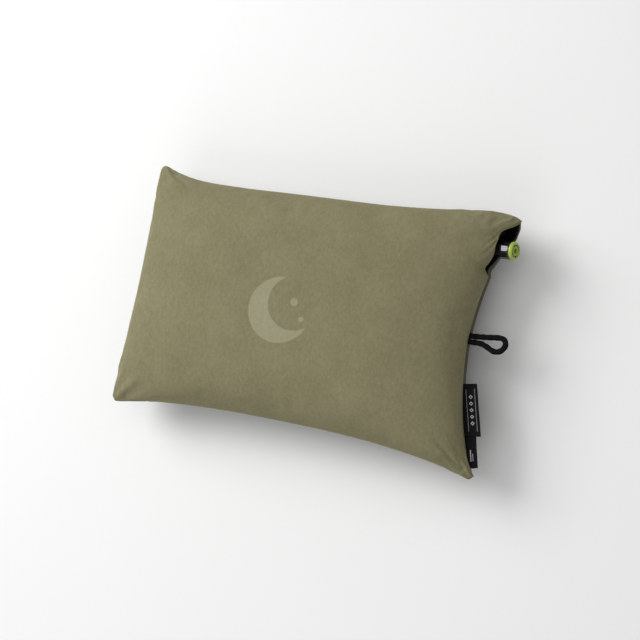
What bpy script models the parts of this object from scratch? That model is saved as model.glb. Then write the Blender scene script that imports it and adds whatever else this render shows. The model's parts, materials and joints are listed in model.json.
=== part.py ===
"""An inflatable camp pillow: a fabric cover round a foam pad and a baffled air cell, with a twist valve,
a cord loop and two labels at one end.

The pillow lies on its back with its face up (+Z) and its long side along X. The origin is the centre of
the flat patch that it rests on. The valve, the loop and the labels are at the seam of the +X end. All
sizes are in metres.
"""

import math
from dataclasses import dataclass, replace

import bmesh
import bpy
from mathutils import Matrix, Vector

# The pillow, over the tips of its corners
PILLOW_LENGTH = 0.430
PILLOW_WIDTH = 0.280
FACE_RISE = 0.050  # from the seam up to the middle of the face
BACK_DROP = 0.050  # from the seam down to the surface it rests on
VALVE_END_PINCH = 0.030  # how far the middle of that end is drawn in from its corner tips
PLAIN_END_PINCH = 0.009
SIDE_PINCH = 0.014  # the same for a long side
EDGE_POWER = 3.0  # a higher power makes a flatter face
EDGE_FULLNESS = 0.40  # a lower power makes a fuller edge
REST_FLATTENING = 0.0035  # how much of the back's bulge is pressed flat

# Thicknesses and fits
GAP = 0.0003  # between pieces that touch
FOAM_GAP = 0.0012  # over and under the foam
CELL_GAP = 0.0009  # under the air cell
FACING_GAP = 0.0009  # between a panel's steep edge and the facing behind it
HINGE_GAP = 0.0006  # between the seam and the round ends that turn beside it
BASE_GAP = 0.0012  # between the sheets and the weld base, whose sides are steep
COVER_THICKNESS = 0.0010
FACING_THICKNESS = 0.0005
FACING_DEPTH = 0.07  # share of the half length that a facing reaches in from the seam
FOAM_THICKNESS = 0.025
FOAM_REACH = (0.90, 0.88)  # share of the half length and half width that the foam covers
CELL_INSET = 0.016  # from the cover's seam in to the weld of the air cell
SHEET_THICKNESS = 0.0006
BAFFLE_THICKNESS = 0.0006
BAFFLE_REACH = 0.80  # share of the half width that they cross
BAFFLE_PLACES = {"baffle_left": -0.5, "baffle_middle": 0.0, "baffle_right": 0.5}

# The slit in the end seam that the valve looks out of
SLIT_FROM_TIP = 0.031  # from the +Y corner tip to the slit's middle
SLIT_CENTRE = PILLOW_WIDTH / 2 - SLIT_FROM_TIP
SLIT_HALF_LENGTH = 0.029
SLIT_LIFT = 0.012
SLIT_PULL_FACE = 0.011  # how far the face panel's edge is drawn back
SLIT_PULL_BACK = 0.003
FADE_POWER = 12  # how quickly the slit's shape dies out inside the edge

# The valve, from its weld base outwards
VALVE_FROM_TIP = 0.0345
VALVE_Y = PILLOW_WIDTH / 2 - VALVE_FROM_TIP
VALVE_TILT = math.radians(20)
VALVE_DROP = 0.0015  # the boot's foot below the seam
BASE_HALF_LENGTH = 0.026
BASE_MESHED = 0.97  # share of that half length that the weld base fills
BASE_LIFT = 0.010
BASE_DEPTH = 0.045  # share of the cell's half length
BOOT_OUTER = 0.0060
BOOT_WALL = 0.0013
BOOT_FOOT, BOOT_BEND, BOOT_END = 0.0070, 0.0050, 0.0050  # straight foot, curve and straight end
BORE = 0.0034
NECK = 0.0052
SHOULDER, SHOULDER_HEIGHT = 0.0075, 0.0012
SHANK_LENGTH = 0.0045
NECK_TOP = 0.0140
GROOVE, GROOVE_FOOT, GROOVE_TOP = 0.0041, 0.0092, 0.0108
O_RING_HALF = 0.00045
SEAL_HEIGHT = 0.0003
SLEEVE_WALL = 0.0011
SLEEVE_FOOT = 0.0030
CAP_RADIUS, CAP_HEIGHT = 0.0098, 0.0042
CAP_GROOVE, CAP_GROOVE_WIDTH, CAP_GROOVE_DEPTH = 0.0048, 0.0012, 0.0010
MOUTH = 0.0032
PLUG_HEAD, PLUG_HEAD_HEIGHT, PLUG_ROD = 0.0029, 0.0022, 0.0015
PLUG_RIB_FOOT, PLUG_RIB_TOP, PLUG_RIB_WIDTH = 0.0015, 0.0045, 0.0012
COLLAR_RADIUS, FLUTE_DEPTH, FLUTES = 0.0095, 0.0006, 18
COLLAR_LIP = 0.0009
CHAMFER = 0.0006

# The loop: its cord, the place of its hinge along the seam, and its route from there in the seam's plane
LOOP_DIAMETER = 0.0058
LOOP_Y = 0.006
LOOP_ROUTE = (
    (0.0000, 0.0032),
    (0.0070, 0.0037),
    (0.0165, 0.0048),
    (0.0250, 0.0061),
    (0.0308, 0.0062),
    (0.0346, 0.0037),
    (0.0356, -0.0005),
    (0.0338, -0.0050),
    (0.0300, -0.0082),
    (0.0252, -0.0089),
    (0.0203, -0.0074),
    (0.0155, -0.0050),
    (0.0102, -0.0034),
    (0.0050, -0.0031),
    (0.0000, -0.0032),
)
LOOP_STEP = 0.0025

# The labels: from the -Y corner tip to the middle, length along the seam, and width
LABELS = {"side_label": (0.0700, 0.0560, 0.0155), "care_label": (0.0260, 0.0310, 0.0120)}
LABEL_THICKNESS = 0.0008

# The meshes
GRID_ALONG, GRID_ACROSS = 22, 16  # cells of the cover panels
INNER_ALONG, INNER_ACROSS = 14, 10  # cells of the pieces inside
SLIT_ALONG, SLIT_ACROSS = 3, 10  # cells of the slit's facings
BASE_ALONG, BASE_ACROSS = 2, 8  # cells of the weld base
LINES_APART, BAFFLES_APART = 0.02, 0.06  # a grid line this near to an extra one is left out
TURN_STEPS = 32
PLUG_RIBS = 3
RIB_TURN = math.radians(10)  # of the first rib from the valve's own X


@dataclass(frozen=True)
class Skin:
    """One of the pillow's nested surfaces, over the grid (u, v), which runs from -1 to 1 along X and Y."""

    side: int  # 1 is the face's half and -1 the back's
    inset: float  # from the cover's outline
    rise: float  # of its middle from the seam's plane
    lift: float  # of its edge at the slit or the valve
    pull: float  # of its edge back from the slit
    centre: float  # of the slit or the valve along Y
    half: float  # half length of that opening
    outermost: float  # inset of the outermost skin that shares the opening
    limit: float = 1.0  # the furthest it may reach from the seam's plane

    def half_length(self, v, end=1):
        pinch = VALVE_END_PINCH if end > 0 else PLAIN_END_PINCH
        return PILLOW_LENGTH / 2 - self.inset - pinch * (1 - v * v)

    def half_width(self, u):
        return PILLOW_WIDTH / 2 - self.inset - SIDE_PINCH * (1 - u * u)

    def bump(self, y):
        off = (y - self.centre) / self.half
        return math.cos(off * math.pi / 2) ** 2 if abs(off) < 1 else 0.0

    def point(self, u, v):
        y = v * self.half_width(u)
        nominal_y = v * (self.half_width(u) + self.inset - self.outermost)
        opening = self.bump(nominal_y) * max(u, 0.0) ** FADE_POWER
        x = u * self.half_length(v, u) - self.pull * opening
        away = GAP / 2 + (self.rise - GAP / 2) * crown(u) * crown(v) + self.lift * opening
        return Vector((x, y, BACK_DROP + self.side * min(away, self.limit)))

    def inside(self, depth):
        """The skin that lies depth further in."""
        return replace(self, inset=self.inset + depth, rise=self.rise - depth, limit=self.limit - depth)


def crown(s):
    """The pillow's height along one direction: 1 in the middle and 0 at the edge."""
    return max(0.0, 1 - abs(s) ** EDGE_POWER) ** EDGE_FULLNESS


def cover_skin(side):
    opening = {"lift": SLIT_LIFT, "centre": SLIT_CENTRE, "half": SLIT_HALF_LENGTH, "outermost": 0.0}
    if side > 0:
        return Skin(1, 0.0, FACE_RISE, pull=SLIT_PULL_FACE, **opening)
    return Skin(-1, 0.0, BACK_DROP + REST_FLATTENING, pull=SLIT_PULL_BACK, limit=BACK_DROP, **opening)


def cell_skin(side):
    """The outside of the air cell, which the foam lifts away from the cover's face."""
    opening = {"lift": BASE_LIFT, "pull": 0.0, "centre": VALVE_Y}
    opening |= {"half": BASE_HALF_LENGTH, "outermost": CELL_INSET}
    if side > 0:
        rise = FACE_RISE - COVER_THICKNESS - FOAM_THICKNESS - 2 * FOAM_GAP
        return Skin(1, CELL_INSET, rise, **opening)
    lining = COVER_THICKNESS + CELL_GAP
    return Skin(-1, CELL_INSET, BACK_DROP + REST_FLATTENING - lining, limit=BACK_DROP - lining, **opening)


def spaced(count, low=-1.0, high=1.0):
    """Grid lines that crowd towards -1 and 1, where the surface curves most."""
    first, last = math.asin(low), math.asin(high)
    return [math.sin(first + (last - first) * k / count) for k in range(count + 1)]


def even(count, low, high):
    return [low + (high - low) * k / count for k in range(count + 1)]


def with_lines(lines, extra, apart=LINES_APART):
    """The grid lines and the extra ones, without the grid lines that an extra one nearly repeats."""
    kept = [s for s in lines if min(abs(s - e) for e in extra) > apart or abs(s) == 1]
    return sorted({*kept, *extra})


def material(name, color, roughness, metallic=0.0):
    made = bpy.data.materials.new(name)
    made.use_nodes = True
    made.diffuse_color = (*color, 1)
    shader = made.node_tree.nodes["Principled BSDF"]
    shader.inputs["Base Color"].default_value = (*color, 1)
    shader.inputs["Roughness"].default_value = roughness
    shader.inputs["Metallic"].default_value = metallic
    return made


def make_materials():
    return {
        "face": material("face_suede", (0.235, 0.216, 0.120), 0.95),
        "back": material("back_fabric", (0.180, 0.165, 0.090), 0.90),
        "facing": material("facing_fabric", (0.008, 0.008, 0.009), 0.90),
        "foam": material("foam", (0.62, 0.60, 0.52), 0.95),
        "sheet": material("cell_fabric", (0.020, 0.021, 0.023), 0.60),
        "black": material("black_plastic", (0.006, 0.006, 0.007), 0.22),
        "boot": material("boot_rubber", (0.009, 0.009, 0.010), 0.50),
        "lime": material("lime_plastic", (0.400, 0.540, 0.075), 0.38),
        "seal": material("seal_rubber", (0.010, 0.010, 0.011), 0.55),
        "cord": material("loop_cord", (0.007, 0.007, 0.008), 0.80),
        "label": material("label_weave", (0.009, 0.009, 0.010), 0.75),
    }


def finish(name, bm, look, parent=None):
    """Turns a bmesh into an object with its normals outwards and its round parts smooth."""
    bmesh.ops.recalc_face_normals(bm, faces=bm.faces)
    if bm.calc_volume(signed=True) < 0:
        bmesh.ops.reverse_faces(bm, faces=bm.faces)
    mesh = bpy.data.meshes.new(name)
    bm.to_mesh(mesh)
    bm.free()
    mesh.materials.append(look)
    mesh.shade_smooth()
    mesh.set_sharp_from_angle(angle=math.radians(40))
    made = bpy.data.objects.new(name, mesh)
    bpy.context.collection.objects.link(made)
    made.parent = parent
    return made


def layer(name, upper, lower, us, vs, look):
    """A closed solid between two skins that share one grid."""
    bm = bmesh.new()
    rows = [[[bm.verts.new(skin.point(u, v)) for v in vs] for u in us] for skin in (upper, lower)]
    top, bottom = rows
    for i in range(len(us) - 1):
        for j in range(len(vs) - 1):
            bm.faces.new((top[i][j], top[i + 1][j], top[i + 1][j + 1], top[i][j + 1]))
            bm.faces.new((bottom[i][j], bottom[i][j + 1], bottom[i + 1][j + 1], bottom[i + 1][j]))
    for i in range(len(us) - 1):
        for j in (0, len(vs) - 1):
            bm.faces.new((top[i][j], bottom[i][j], bottom[i + 1][j], top[i + 1][j]))
    for j in range(len(vs) - 1):
        for i in (0, len(us) - 1):
            bm.faces.new((top[i][j], top[i][j + 1], bottom[i][j + 1], bottom[i][j]))
    bmesh.ops.triangulate(bm, faces=bm.faces, quad_method="FIXED")
    return finish(name, bm, look)


def turned(name, profile, look, parent, steps=TURN_STEPS):
    """A ring or a pin: profile is its (radius, height) outline, turned about the parent's Z."""
    bm = bmesh.new()
    outline = [bm.verts.new((radius, 0, height)) for radius, height in profile]
    edges = [bm.edges.new(pair) for pair in zip(outline, outline[1:] + outline[:1])]
    turn = {"axis": (0, 0, 1), "cent": (0, 0, 0), "angle": 2 * math.pi, "steps": steps}
    bmesh.ops.spin(bm, geom=outline + edges, use_merge=True, **turn)
    bmesh.ops.remove_doubles(bm, verts=bm.verts, dist=1e-6)
    lone = [e for e in bm.edges if not e.link_faces]
    bmesh.ops.delete(bm, geom=lone, context="EDGES")
    return finish(name, bm, look, parent)


def boolean(target, cutter, operation):
    """Leaves a Boolean on target and hides its other object."""
    step = target.modifiers.new(operation.lower(), "BOOLEAN")
    step.operation = operation
    step.object = cutter
    cutter.hide_render = True
    cutter.display_type = "WIRE"


def make_cover(looks):
    """The two panels of the cover, and the black facings that line their edges at the slit."""
    slit = [(SLIT_CENTRE + way * SLIT_HALF_LENGTH) / (PILLOW_WIDTH / 2) for way in (-1, 1)]
    slit_us, slit_vs = even(SLIT_ALONG, 1 - FACING_DEPTH, 1), even(SLIT_ACROSS, *slit)
    us, vs = with_lines(spaced(GRID_ALONG), slit_us), with_lines(spaced(GRID_ACROSS), slit_vs)
    for half, side, look in (("top", 1, "face"), ("bottom", -1, "back")):
        skin = cover_skin(side)
        layer(f"cover_{half}_panel", skin, skin.inside(COVER_THICKNESS), us, vs, looks[look])
        outer = skin.inside(COVER_THICKNESS + FACING_GAP)
        inner = outer.inside(FACING_THICKNESS)
        layer(f"slit_facing_{half}", outer, inner, slit_us, slit_vs, looks["facing"])


def baffle_lines():
    half = BAFFLE_THICKNESS / PILLOW_LENGTH
    return {name: (place - half, place + half) for name, place in BAFFLE_PLACES.items()}


def base_lines():
    """The grid of the valve's weld base, which the sheets round it share."""
    reach = BASE_MESHED * BASE_HALF_LENGTH
    ends = [(VALVE_Y + way * reach) / (PILLOW_WIDTH / 2 - CELL_INSET) for way in (-1, 1)]
    return even(BASE_ALONG, 1 - BASE_DEPTH, 1), even(BASE_ACROSS, *ends)


def cell_lines():
    base_us, base_vs = base_lines()
    us = with_lines(spaced(INNER_ALONG), base_us)
    us = with_lines(us, [u for pair in baffle_lines().values() for u in pair], BAFFLES_APART)
    return us, with_lines(spaced(INNER_ACROSS), base_vs)


def within(lines, reach):
    """The part of the grid from -reach to reach."""
    return [-reach, *(s for s in lines if abs(s) < reach - 0.01), reach]


def make_foam(looks):
    upper = cover_skin(1).inside(COVER_THICKNESS + FOAM_GAP)
    lower = cell_skin(1).inside(-FOAM_GAP)
    us, vs = (within(lines, reach) for lines, reach in zip(cell_lines(), FOAM_REACH))
    layer("foam_pad", upper, lower, us, vs, looks["foam"])


def make_cell(looks):
    """The air cell: two sheets, the baffles that hold them together, and the base that holds the valve."""
    us, vs = cell_lines()
    for name, side in (("air_cell_top_sheet", 1), ("air_cell_bottom_sheet", -1)):
        skin = cell_skin(side)
        layer(name, skin, skin.inside(SHEET_THICKNESS), us, vs, looks["sheet"])
    upper, lower = (cell_skin(side).inside(SHEET_THICKNESS + GAP) for side in (1, -1))
    for name, pair in baffle_lines().items():
        layer(name, upper, lower, pair, within(vs, BAFFLE_REACH)[1:-1], looks["sheet"])
    upper, lower = (cell_skin(side).inside(SHEET_THICKNESS + BASE_GAP) for side in (1, -1))
    return layer("valve_weld_base", upper, lower, *base_lines(), looks["boot"])


def boot_path():
    """The middle of the boot as (place, direction angle) pairs, from its foot in the base to its mouth."""
    weld = cell_skin(1).inside(SHEET_THICKNESS + BASE_GAP)
    edge = weld.half_length(VALVE_Y / weld.half_width(1))
    x, z = edge - BOOT_FOOT, BACK_DROP - VALVE_DROP
    places = [((x, z), 0.0), ((edge, z), 0.0)]
    x, radius, steps = edge, BOOT_BEND / VALVE_TILT, 4
    for k in range(1, steps + 1):
        turn = VALVE_TILT * k / steps
        places.append(((x + radius * math.sin(turn), z + radius * (1 - math.cos(turn))), turn))
    bend_x, bend_z = places[-1][0]
    end = (bend_x + BOOT_END * math.cos(VALVE_TILT), bend_z + BOOT_END * math.sin(VALVE_TILT))
    return places + [(end, VALVE_TILT)]


def make_boot(base, looks):
    """A soft bent tube whose foot is welded in the base."""
    bm = bmesh.new()
    walls = []
    around = [2 * math.pi * k / TURN_STEPS for k in range(TURN_STEPS)]
    for radius in (BOOT_OUTER, BOOT_OUTER - BOOT_WALL):
        rings = []
        for (x, z), turn in boot_path():
            tip = Matrix.Rotation(-turn, 3, "Y")
            offsets = [tip @ Vector((0, radius * math.sin(a), radius * math.cos(a))) for a in around]
            rings.append([bm.verts.new(Vector((x, VALVE_Y, z)) + offset) for offset in offsets])
        walls.append(rings)
    outer, inner = walls
    pairs = list(zip(outer, outer[1:])) + list(zip(inner[1:], inner))
    pairs += [(inner[0], outer[0]), (outer[-1], inner[-1])]
    for a, b in pairs:
        for k in range(TURN_STEPS):
            m = (k + 1) % TURN_STEPS
            bm.faces.new((a[k], a[m], b[m], b[k]))
    finish("valve_boot", bm, looks["boot"])
    (foot, level), _ = boot_path()[0]
    hole = bmesh.new()
    size = {"radius1": BOOT_OUTER + GAP, "radius2": BOOT_OUTER + GAP, "depth": 10 * BOOT_FOOT}
    bmesh.ops.create_cone(hole, cap_ends=True, segments=TURN_STEPS, **size)
    bmesh.ops.rotate(hole, matrix=Matrix.Rotation(math.pi / 2, 3, "Y"), verts=hole.verts)
    bmesh.ops.translate(hole, vec=(foot, VALVE_Y, level), verts=hole.verts)
    boolean(base, finish("valve_base_cutter", hole, looks["boot"]), "DIFFERENCE")


def ring(inner, outer, foot, top):
    return [(outer, foot), (outer, top), (inner, top), (inner, foot)]


def make_valve(looks):
    """The valve's rigid pieces, on an empty at the boot's mouth whose Z is the valve's axis."""
    (x, z), _ = boot_path()[-1]
    axis = bpy.data.objects.new("valve_axis", None)
    axis.location = (x, VALVE_Y, z)
    axis.rotation_euler = (0, math.pi / 2 - VALVE_TILT, 0)
    bpy.context.collection.objects.link(axis)
    make_valve_body(looks, axis)
    make_plug(looks, axis)
    make_mouthpiece(looks, axis)
    make_collar(looks, axis)


def make_valve_body(looks, axis):
    shank = BOOT_OUTER - BOOT_WALL - GAP
    shoulder_top = GAP + SHOULDER_HEIGHT
    profile = [(BORE, -SHANK_LENGTH), (shank, -SHANK_LENGTH), (shank, GAP), (SHOULDER, GAP)]
    profile += [(SHOULDER, shoulder_top), (NECK, shoulder_top)]
    profile += [(NECK, GROOVE_FOOT), (GROOVE, GROOVE_FOOT), (GROOVE, GROOVE_TOP)]
    profile += [(NECK, GROOVE_TOP), (NECK, NECK_TOP), (BORE, NECK_TOP)]
    turned("valve_body", profile, looks["black"], axis)
    middle, height = (GROOVE + NECK + GAP) / 2, (GROOVE_FOOT + GROOVE_TOP) / 2
    circle = [2 * math.pi * k / 8 for k in range(8)]
    profile = [(middle + O_RING_HALF * math.cos(a), height + O_RING_HALF * math.sin(a)) for a in circle]
    turned("stem_o_ring", profile, looks["seal"], axis)


def cap_foot():
    return NECK_TOP + GAP + SEAL_HEIGHT + GAP


def make_plug(looks, axis):
    """The fixed pin in the middle, on three ribs that let the air past."""
    top = cap_foot() + CAP_HEIGHT / 2
    profile = [(0, PLUG_RIB_FOOT), (PLUG_ROD, PLUG_RIB_FOOT)]
    profile += [(PLUG_ROD, top - PLUG_HEAD_HEIGHT - CHAMFER)]
    profile += [(PLUG_HEAD, top - PLUG_HEAD_HEIGHT), (PLUG_HEAD, top - CHAMFER)]
    profile += [(PLUG_HEAD - CHAMFER, top), (0, top)]
    plug = turned("valve_plug", profile, looks["black"], axis)
    reach, height = BORE - GAP, PLUG_RIB_TOP - PLUG_RIB_FOOT
    for k in range(PLUG_RIBS):
        turn = Matrix.Rotation(2 * math.pi * k / PLUG_RIBS + RIB_TURN, 3, "Z")
        bm = bmesh.new()
        bmesh.ops.create_cube(bm, size=1)
        bmesh.ops.scale(bm, vec=(reach, PLUG_RIB_WIDTH, height), verts=bm.verts)
        bmesh.ops.translate(bm, vec=(reach / 2, 0, PLUG_RIB_FOOT + height / 2), verts=bm.verts)
        bmesh.ops.rotate(bm, matrix=turn, verts=bm.verts)
        boolean(plug, finish(f"plug_rib_cutter_{k}", bm, looks["black"], axis), "UNION")


def make_mouthpiece(looks, axis):
    """The cap and the sleeve under it, which slide out over the neck."""
    bore = NECK + GAP
    foot = cap_foot()
    top = foot + CAP_HEIGHT
    sleeve = bore + SLEEVE_WALL
    rim = foot + GAP
    profile = [(bore, SLEEVE_FOOT), (sleeve, SLEEVE_FOOT), (sleeve, rim), (CAP_RADIUS, rim)]
    dome = [math.radians(a) for a in (0, 25, 50, 75)]
    soft = CAP_HEIGHT - 3 * CHAMFER
    profile += [(CAP_RADIUS - soft * (1 - math.cos(a)), top - soft + soft * math.sin(a)) for a in dome]
    inner, outer = CAP_GROOVE, CAP_GROOVE + CAP_GROOVE_WIDTH
    profile += [(outer, top), (outer, top - CAP_GROOVE_DEPTH)]
    profile += [(inner, top - CAP_GROOVE_DEPTH), (inner, top)]
    profile += [(MOUTH + CHAMFER, top), (MOUTH, top - CHAMFER), (MOUTH, foot), (bore, foot)]
    turned("mouthpiece", profile, looks["lime"], axis)
    seal = ring(MOUTH + GAP, NECK, NECK_TOP + GAP, NECK_TOP + GAP + SEAL_HEIGHT)
    turned("face_seal", seal, looks["seal"], axis)


def make_collar(looks, axis):
    """The fluted ring that opens the valve. Its lip runs on the neck under the mouthpiece's sleeve."""
    foot, top = 2 * GAP + SHOULDER_HEIGHT, cap_foot()
    lip = NECK + GAP
    bore = NECK + 2 * GAP + SLEEVE_WALL
    step = foot + COLLAR_LIP
    levels = [(lip, foot, 0), (COLLAR_RADIUS - CHAMFER, foot, 1), (COLLAR_RADIUS, foot + CHAMFER, 1)]
    levels += [(COLLAR_RADIUS, top - CHAMFER, 1), (COLLAR_RADIUS - CHAMFER, top, 1), (bore, top, 0)]
    levels += [(bore, step, 0), (lip, step, 0)]
    around = 4 * FLUTES
    bm = bmesh.new()
    rings = []
    for radius, height, fluted in levels:
        row = []
        for k in range(around):
            angle = 2 * math.pi * k / around
            deep = FLUTE_DEPTH * fluted * (1 - math.cos(FLUTES * angle)) / 2
            place = Matrix.Rotation(angle, 3, "Z") @ Vector((radius - deep, 0, height))
            row.append(bm.verts.new(place))
        rings.append(row)
    for a, b in zip(rings, rings[1:] + rings[:1]):
        for k in range(around):
            m = (k + 1) % around
            bm.faces.new((a[k], a[m], b[m], b[k]))
    finish("twist_collar", bm, looks["black"], axis)


def smooth_route(points, step):
    """Places about step apart on a smooth curve through the points."""
    ends = [2 * points[0] - points[1], *points, 2 * points[-1] - points[-2]]
    fine = [points[0]]
    for a, b, c, d in zip(ends, ends[1:], ends[2:], ends[3:]):
        count = max(1, round((c - b).length / step))
        for k in range(1, count + 1):
            t = k / count
            pull = (2 * a - 5 * b + 4 * c - d) * t * t + (3 * b - a - 3 * c + d) * t * t * t
            fine.append(b + ((c - a) * t + pull) / 2)
    return fine


def seam_edge(y):
    """Where the seam of the valve's end lies at y."""
    skin = cover_skin(1)
    return skin.half_length(y / skin.half_width(1))


def make_loop(looks):
    """The cord loop. Its two round ends turn on the loop's hinge, just outside the seam."""
    route = smooth_route([Vector((x, y, 0)) for x, y in LOOP_ROUTE], LOOP_STEP)
    radius = LOOP_DIAMETER / 2
    ends = [math.radians(a) for a in (80, 55, 28)]
    first = [(route[0] - Vector((radius * math.sin(a), 0, 0)), math.cos(a)) for a in ends]
    last = [(route[-1] - Vector((radius * math.sin(a), 0, 0)), math.cos(a)) for a in reversed(ends)]
    places = first + [(p, 1.0) for p in route] + last
    curve = bpy.data.curves.new("hang_loop", "CURVE")
    curve.dimensions = "3D"
    curve.bevel_depth = radius
    curve.bevel_resolution = 2
    curve.use_fill_caps = True
    line = curve.splines.new("POLY")
    line.points.add(len(places) - 1)
    for point, (place, share) in zip(line.points, places):
        point.co = (*place, 1)
        point.radius = share
    curve.materials.append(looks["cord"])
    loop = bpy.data.objects.new("hang_loop", curve)
    loop.location = (seam_edge(LOOP_Y) + HINGE_GAP + radius, LOOP_Y, BACK_DROP)
    bpy.context.collection.objects.link(loop)


def make_labels(looks):
    """Folded woven labels. The rounded inner edge of each turns on its hinge, along the seam."""
    half = LABEL_THICKNESS / 2
    round_edge = [math.radians(a) for a in (90, 120, 150, 180, 210, 240, 270)]
    curving = VALVE_END_PINCH / (PILLOW_WIDTH / 2) ** 2  # the seam there is a parabola
    for name, (from_tip, length, width) in LABELS.items():
        middle = from_tip - PILLOW_WIDTH / 2
        angle = math.atan(2 * curving * middle)
        sagitta = curving * (length / 2 * math.cos(angle)) ** 2
        profile = [(half * math.cos(a), half * math.sin(a)) for a in round_edge]
        profile += [(width - half, -half), (width - half, half)]
        bm = bmesh.new()
        front = bm.faces.new([bm.verts.new((x, -length / 2, z)) for x, z in profile])
        drawn = bmesh.ops.extrude_face_region(bm, geom=[front])
        moved = [v for v in drawn["geom"] if isinstance(v, bmesh.types.BMVert)]
        bmesh.ops.translate(bm, vec=(0, length, 0), verts=moved)
        label = finish(name, bm, looks["label"])
        off = sagitta + (HINGE_GAP + half) / math.cos(angle)
        label.location = (seam_edge(middle) + off, middle, BACK_DROP)
        label.rotation_euler = (0, 0, -angle)


def main():
    for old in list(bpy.data.objects):
        bpy.data.objects.remove(old, do_unlink=True)
    looks = make_materials()
    make_cover(looks)
    make_foam(looks)
    base = make_cell(looks)
    make_boot(base, looks)
    make_valve(looks)
    make_loop(looks)
    make_labels(looks)


main()
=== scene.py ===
"""The looks of the camp pillow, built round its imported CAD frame.

The frame's +X end holds the valve, the loop and the labels, and +Z comes out of the face.
All lengths are in metres.
"""

import json
import math

import bpy
import numpy as np
from mathutils import Matrix, Quaternion, Vector


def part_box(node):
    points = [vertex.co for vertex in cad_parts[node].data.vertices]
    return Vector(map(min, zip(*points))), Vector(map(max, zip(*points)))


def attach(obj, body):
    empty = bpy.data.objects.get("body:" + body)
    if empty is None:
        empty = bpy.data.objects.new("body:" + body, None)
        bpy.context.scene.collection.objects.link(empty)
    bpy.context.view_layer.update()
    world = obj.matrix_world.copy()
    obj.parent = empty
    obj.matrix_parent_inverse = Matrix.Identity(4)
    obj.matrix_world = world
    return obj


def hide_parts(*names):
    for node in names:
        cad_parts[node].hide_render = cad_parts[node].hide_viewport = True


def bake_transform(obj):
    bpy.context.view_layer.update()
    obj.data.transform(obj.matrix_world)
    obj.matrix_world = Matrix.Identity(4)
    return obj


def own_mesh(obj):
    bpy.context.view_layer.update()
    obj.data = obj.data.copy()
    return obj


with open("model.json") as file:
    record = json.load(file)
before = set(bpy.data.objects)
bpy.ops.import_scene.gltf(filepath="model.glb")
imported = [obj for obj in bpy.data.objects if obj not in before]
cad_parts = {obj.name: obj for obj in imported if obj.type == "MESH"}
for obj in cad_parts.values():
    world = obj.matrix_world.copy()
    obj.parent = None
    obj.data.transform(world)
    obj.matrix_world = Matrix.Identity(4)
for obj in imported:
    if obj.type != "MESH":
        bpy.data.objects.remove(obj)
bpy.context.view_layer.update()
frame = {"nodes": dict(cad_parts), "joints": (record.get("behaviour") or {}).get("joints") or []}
joints = {joint["name"]: joint for joint in frame["joints"]}

# ---------------------------------------------------------------- sizes read from the frame

panel_low, panel_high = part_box("cover_top_panel")
LENGTH = panel_high.x - panel_low.x
WIDTH = panel_high.y - panel_low.y
FACE_TOP = panel_high.z
SEAM_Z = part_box("cover_bottom_panel")[1].z

# ---------------------------------------------------------------- the cover's own shape

VALVE_END_PINCH, PLAIN_END_PINCH = 0.030, 0.0068  # how far the seam is drawn in between its corner tips
NEAR_FULLNESS = 0.15  # the share of that pinch which the valve's end lacks towards its -Y corner
FAR_SIDE = (  # the seam along the +Y side, as X and Y
    (-0.2150, 0.1400),
    (-0.1900, 0.1352),
    (-0.1640, 0.1308),
    (-0.1020, 0.1288),
    (-0.0430, 0.1305),
    (0.0150, 0.1320),
    (0.0710, 0.1337),
    (0.1250, 0.1382),
    (0.1680, 0.1432),
    (0.1900, 0.1436),
    (0.2050, 0.1422),
    (0.2150, 0.1400),
)
# The seam along the -Y side: how far it is drawn in, how much more at the valve's end, and how evenly
NEAR_SIDE_PINCH, NEAR_SIDE_TILT, NEAR_SIDE_POWER = 0.0178, 0.0025, 2.5
CROWN_POWER, CROWN_FULLNESS = 3.0, 0.42  # how flat the crown is in the middle, and how upright at the seam
FLATTENING = 0.0035  # how far the back's bulge is pressed in by what it rests on
REST_SOFTNESS = 0.0008  # how gently the flat of the back turns into its sides
OVERHANG, OVERHANG_SHARE = 0.0026, 0.62  # how far the wall stands out, and up to which share of its height
WALL_POWER = 12  # how closely the overhang and the groove keep to the seam
SEAM_GROOVE, GROOVE_RISE = 0.0015, 0.0016  # how deep the seam lies in, and how high the groove reaches
GROOVE_LINES = (0.991, 0.996)  # extra grid lines that the groove needs
# The corner tips, by the signs of X and Y: how far each is drawn out along X and Y, and how much is blunted
TIPS = {
    (1, -1): (0.0095, 0.0038, 0.0100),
    (-1, -1): (-0.0010, 0.0015, 0.0030),
    (-1, 1): (-0.0005, 0.0030, 0.0030),
    (1, 1): (0.0022, 0.0012, 0.0018),
}
TIP_REACH, TIP_SOFTNESS = 12, 0.0012
MOST_EXPONENT = 30  # past it, the soft cut of a tip goes no further, so that exp() stays finite
CLOTH, COVER_FILL = 0.0009, 0.85

# Along the slit, by Y: how far the face's edge is drawn back and lifted, and how far the back's lip sticks
# out and hangs
FACE_PULL = (
    (0.0740, 0.0),
    (0.0815, 0.0080),
    (0.0880, 0.0050),
    (0.0970, 0.0035),
    (0.1100, 0.0088),
    (0.1215, 0.0128),
    (0.1280, 0.0060),
    (0.1330, 0.0015),
    (0.1380, 0.0),
)
FACE_LIFT = (
    (0.0800, 0.0),
    (0.0860, 0.0035),
    (0.0950, 0.0075),
    (0.1090, 0.0095),
    (0.1200, 0.0080),
    (0.1280, 0.0050),
    (0.1340, 0.0015),
    (0.1385, 0.0),
)
LIP_OUT = (
    (0.0740, 0.0),
    (0.0815, -0.0035),
    (0.0880, -0.0015),
    (0.0980, 0.0005),
    (0.1100, 0.0035),
    (0.1190, 0.0062),
    (0.1290, 0.0045),
    (0.1380, 0.0),
)
LIP_DROP = ((0.0830, 0.0), (0.0950, 0.0030), (0.1080, 0.0060), (0.1200, 0.0040), (0.1340, 0.0))
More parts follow.
